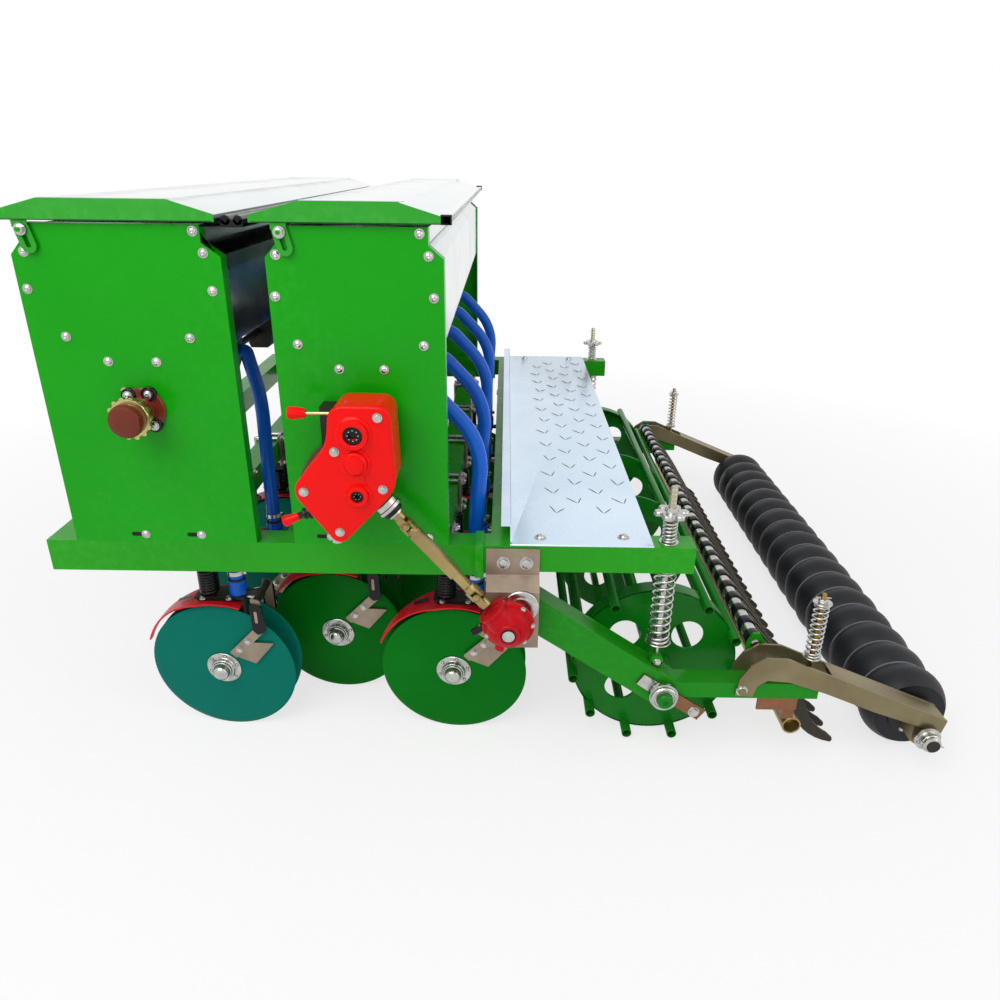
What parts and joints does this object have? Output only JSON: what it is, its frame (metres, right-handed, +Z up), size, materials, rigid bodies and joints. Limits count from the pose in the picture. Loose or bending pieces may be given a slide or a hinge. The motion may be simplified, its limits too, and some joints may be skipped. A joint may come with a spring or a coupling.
{
  "type": "seed drill",
  "caption": "Compact three-point mounted seed and fertiliser drill with front and rear hoppers, double disc openers, cage roller, tine comb and ribbed rubber roller.",
  "frame": {"origin": "on the ground, below the middle of the whole machine's outline", "axes": "+X forward in the direction of travel, +Y to the machine's left, +Z up"},
  "size_m": [2.153, 1.887, 1.24],
  "materials": {
    "green_paint": "bright green gloss paint",
    "frame_green": "green gloss paint",
    "disc_teal": "teal gloss paint",
    "disc_green": "mid green gloss paint",
    "red_paint": "bright red gloss paint",
    "guard_red": "red gloss paint",
    "stainless": "bright stainless sheet",
    "tread_plate": "bright tread plate",
    "zinc": "bright zinc plating",
    "yellow_zinc": "yellow passivated zinc plating",
    "black_steel": "black gloss coating",
    "dark_steel": "dark grey steel",
    "blue_hose": "smooth blue flexible hose",
    "black_rubber": "black moulded rubber",
    "brown_knob": "brown moulded cap with brass coloured ring",
    "red_casting": "red painted casting"
  },
  "bodies": {
    "frame": {"main_frame": "frame_green", "hitch": "frame_green", "hopper_panels": "green_paint", "front_bin": "stainless", "rear_bin": "stainless", "seed_meters": "dark_steel", "hoses": "blue_hose", "opener_clamps": "yellow_zinc", "opener_legs": "dark_steel", "opener_springs": "black_steel", "disc_guards": "guard_red", "scrapers": "zinc", "walkway": "tread_plate", "gearbox": "red_paint", "bevel_gearbox": "red_casting", "zinc_plates": "zinc", "gap_strip": "black_steel", "drive_shaft": "yellow_zinc", "rate_adjuster": "brown_knob", "roller_frame": "green_paint", "spring_rods": "zinc", "coil_springs": "zinc", "comb_shaft": "black_steel", "comb_tines": "dark_steel", "comb_bar": "yellow_zinc", "rear_arms": "yellow_zinc"},
    "front_lid": {"front_lid": "green_paint"},
    "rear_lid": {"rear_lid": "green_paint"},
    "cage_roller": {"cage_roller": "green_paint"},
    "rubber_roller": {"rubber_roller": "black_rubber"},
    "disc_front_1_left": {"disc_front_1_left": "disc_teal"},
    "disc_front_1_right": {"disc_front_1_right": "disc_teal"},
    "disc_front_2_left": {"disc_front_2_left": "disc_teal"},
    "disc_front_2_right": {"disc_front_2_right": "disc_teal"},
    "disc_front_3_left": {"disc_front_3_left": "disc_teal"},
    "disc_front_3_right": {"disc_front_3_right": "disc_teal"},
    "disc_front_4_left": {"disc_front_4_left": "disc_teal"},
    "disc_front_4_right": {"disc_front_4_right": "disc_teal"},
    "disc_front_5_left": {"disc_front_5_left": "disc_teal"},
    "disc_front_5_right": {"disc_front_5_right": "disc_teal"},
    "disc_middle_1_left": {"disc_middle_1_left": "disc_green"},
    "disc_middle_1_right": {"disc_middle_1_right": "disc_green"},
    "disc_middle_2_left": {"disc_middle_2_left": "disc_green"},
    "disc_middle_2_right": {"disc_middle_2_right": "disc_green"},
    "disc_middle_3_left": {"disc_middle_3_left": "disc_green"},
    "disc_middle_3_right": {"disc_middle_3_right": "disc_green"},
    "disc_middle_4_left": {"disc_middle_4_left": "disc_green"},
    "disc_middle_4_right": {"disc_middle_4_right": "disc_green"},
    "disc_middle_5_left": {"disc_middle_5_left": "disc_green"},
    "disc_middle_5_right": {"disc_middle_5_right": "disc_green"},
    "disc_rear_1_left": {"disc_rear_1_left": "disc_green"},
    "disc_rear_1_right": {"disc_rear_1_right": "disc_green"},
    "disc_rear_2_left": {"disc_rear_2_left": "disc_green"},
    "disc_rear_2_right": {"disc_rear_2_right": "disc_green"},
    "disc_rear_3_left": {"disc_rear_3_left": "disc_green"},
    "disc_rear_3_right": {"disc_rear_3_right": "disc_green"},
    "disc_rear_4_left": {"disc_rear_4_left": "disc_green"},
    "disc_rear_4_right": {"disc_rear_4_right": "disc_green"},
    "disc_rear_5_left": {"disc_rear_5_left": "disc_green"},
    "disc_rear_5_right": {"disc_rear_5_right": "disc_green"}
  },
  "joints": [
    {"name": "front_lid_hinge", "type": "hinge", "parent": "frame", "child": "front_lid", "pos_m": [0.8585, -0.0485, 1.188], "axis": [0, 1, 0], "range_deg": [0, 60]},
    {"name": "rear_lid_hinge", "type": "hinge", "parent": "frame", "child": "rear_lid", "pos_m": [0.4045, -0.0485, 1.188], "axis": [0, 1, 0], "range_deg": [0, 60]},
    {"name": "cage_roller_spin", "type": "hinge", "parent": "frame", "child": "cage_roller", "pos_m": [-0.3605, -0.0485, 0.208], "axis": [0, 1, 0], "continuous": true},
    {"name": "rubber_roller_spin", "type": "hinge", "parent": "frame", "child": "rubber_roller", "pos_m": [-0.9765, -0.0485, 0.1], "axis": [0, 1, 0], "continuous": true},
    {"name": "disc_front_1_left_spin", "type": "hinge", "parent": "frame", "child": "disc_front_1_left", "pos_m": [0.6755, 0.68225, 0.17486], "axis": [0.0714, 0.9962, -0.05], "continuous": true},
    {"name": "disc_front_1_right_spin", "type": "hinge", "parent": "frame", "child": "disc_front_1_right", "pos_m": [0.6755, 0.64275, 0.17486], "axis": [0.0714, -0.9962, -0.05], "continuous": true},
    {"name": "disc_front_2_left_spin", "type": "hinge", "parent": "frame", "child": "disc_front_2_left", "pos_m": [0.6755, 0.36625, 0.17486], "axis": [0.0714, 0.9962, -0.05], "continuous": true},
    {"name": "disc_front_2_right_spin", "type": "hinge", "parent": "frame", "child": "disc_front_2_right", "pos_m": [0.6755, 0.32675, 0.17486], "axis": [0.0714, -0.9962, -0.05], "continuous": true},
    {"name": "disc_front_3_left_spin", "type": "hinge", "parent": "frame", "child": "disc_front_3_left", "pos_m": [0.6755, 0.05025, 0.17486], "axis": [0.0714, 0.9962, -0.05], "continuous": true},
    {"name": "disc_front_3_right_spin", "type": "hinge", "parent": "frame", "child": "disc_front_3_right", "pos_m": [0.6755, 0.01075, 0.17486], "axis": [0.0714, -0.9962, -0.05], "continuous": true},
    {"name": "disc_front_4_left_spin", "type": "hinge", "parent": "frame", "child": "disc_front_4_left", "pos_m": [0.6755, -0.26575, 0.17486], "axis": [0.0714, 0.9962, -0.05], "continuous": true},
    {"name": "disc_front_4_right_spin", "type": "hinge", "parent": "frame", "child": "disc_front_4_right", "pos_m": [0.6755, -0.30525, 0.17486], "axis": [0.0714, -0.9962, -0.05], "continuous": true},
    {"name": "disc_front_5_left_spin", "type": "hinge", "parent": "frame", "child": "disc_front_5_left", "pos_m": [0.6755, -0.58175, 0.17486], "axis": [0.0714, 0.9962, -0.05], "continuous": true},
    {"name": "disc_front_5_right_spin", "type": "hinge", "parent": "frame", "child": "disc_front_5_right", "pos_m": [0.6755, -0.62125, 0.17486], "axis": [0.0714, -0.9962, -0.05], "continuous": true},
    {"name": "disc_middle_1_left_spin", "type": "hinge", "parent": "frame", "child": "disc_middle_1_left", "pos_m": [0.4305, 0.52425, 0.17486], "axis": [0.0714, 0.9962, -0.05], "continuous": true},
    {"name": "disc_middle_1_right_spin", "type": "hinge", "parent": "frame", "child": "disc_middle_1_right", "pos_m": [0.4305, 0.48475, 0.17486], "axis": [0.0714, -0.9962, -0.05], "continuous": true},
    {"name": "disc_middle_2_left_spin", "type": "hinge", "parent": "frame", "child": "disc_middle_2_left", "pos_m": [0.4305, 0.20825, 0.17486], "axis": [0.0714, 0.9962, -0.05], "continuous": true},
    {"name": "disc_middle_2_right_spin", "type": "hinge", "parent": "frame", "child": "disc_middle_2_right", "pos_m": [0.4305, 0.16875, 0.17486], "axis": [0.0714, -0.9962, -0.05], "continuous": true},
    {"name": "disc_middle_3_left_spin", "type": "hinge", "parent": "frame", "child": "disc_middle_3_left", "pos_m": [0.4305, -0.10775, 0.17486], "axis": [0.0714, 0.9962, -0.05], "continuous": true},
    {"name": "disc_middle_3_right_spin", "type": "hinge", "parent": "frame", "child": "disc_middle_3_right", "pos_m": [0.4305, -0.14725, 0.17486], "axis": [0.0714, -0.9962, -0.05], "continuous": true},
    {"name": "disc_middle_4_left_spin", "type": "hinge", "parent": "frame", "child": "disc_middle_4_left", "pos_m": [0.4305, -0.42375, 0.17486], "axis": [0.0714, 0.9962, -0.05], "continuous": true},
    {"name": "disc_middle_4_right_spin", "type": "hinge", "parent": "frame", "child": "disc_middle_4_right", "pos_m": [0.4305, -0.46325, 0.17486], "axis": [0.0714, -0.9962, -0.05], "continuous": true},
    {"name": "disc_middle_5_left_spin", "type": "hinge", "parent": "frame", "child": "disc_middle_5_left", "pos_m": [0.4305, -0.73975, 0.17486], "axis": [0.0714, 0.9962, -0.05], "continuous": true},
    {"name": "disc_middle_5_right_spin", "type": "hinge", "parent": "frame", "child": "disc_middle_5_right", "pos_m": [0.4305, -0.77925, 0.17486], "axis": [0.0714, -0.9962, -0.05], "continuous": true},
    {"name": "disc_rear_1_left_spin", "type": "hinge", "parent": "frame", "child": "disc_rear_1_left", "pos_m": [0.1195, 0.68225, 0.17486], "axis": [0.0714, 0.9962, -0.05], "continuous": true},
    {"name": "disc_rear_1_right_spin", "type": "hinge", "parent": "frame", "child": "disc_rear_1_right", "pos_m": [0.1195, 0.64275, 0.17486], "axis": [0.0714, -0.9962, -0.05], "continuous": true},
    {"name": "disc_rear_2_left_spin", "type": "hinge", "parent": "frame", "child": "disc_rear_2_left", "pos_m": [0.1195, 0.36625, 0.17486], "axis": [0.0714, 0.9962, -0.05], "continuous": true},
    {"name": "disc_rear_2_right_spin", "type": "hinge", "parent": "frame", "child": "disc_rear_2_right", "pos_m": [0.1195, 0.32675, 0.17486], "axis": [0.0714, -0.9962, -0.05], "continuous": true},
    {"name": "disc_rear_3_left_spin", "type": "hinge", "parent": "frame", "child": "disc_rear_3_left", "pos_m": [0.1195, 0.05025, 0.17486], "axis": [0.0714, 0.9962, -0.05], "continuous": true},
    {"name": "disc_rear_3_right_spin", "type": "hinge", "parent": "frame", "child": "disc_rear_3_right", "pos_m": [0.1195, 0.01075, 0.17486], "axis": [0.0714, -0.9962, -0.05], "continuous": true},
    {"name": "disc_rear_4_left_spin", "type": "hinge", "parent": "frame", "child": "disc_rear_4_left", "pos_m": [0.1195, -0.26575, 0.17486], "axis": [0.0714, 0.9962, -0.05], "continuous": true},
    {"name": "disc_rear_4_right_spin", "type": "hinge", "parent": "frame", "child": "disc_rear_4_right", "pos_m": [0.1195, -0.30525, 0.17486], "axis": [0.0714, -0.9962, -0.05], "continuous": true},
    {"name": "disc_rear_5_left_spin", "type": "hinge", "parent": "frame", "child": "disc_rear_5_left", "pos_m": [0.1195, -0.58175, 0.17486], "axis": [0.0714, 0.9962, -0.05], "continuous": true},
    {"name": "disc_rear_5_right_spin", "type": "hinge", "parent": "frame", "child": "disc_rear_5_right", "pos_m": [0.1195, -0.62125, 0.17486], "axis": [0.0714, -0.9962, -0.05], "continuous": true}
  ]
}
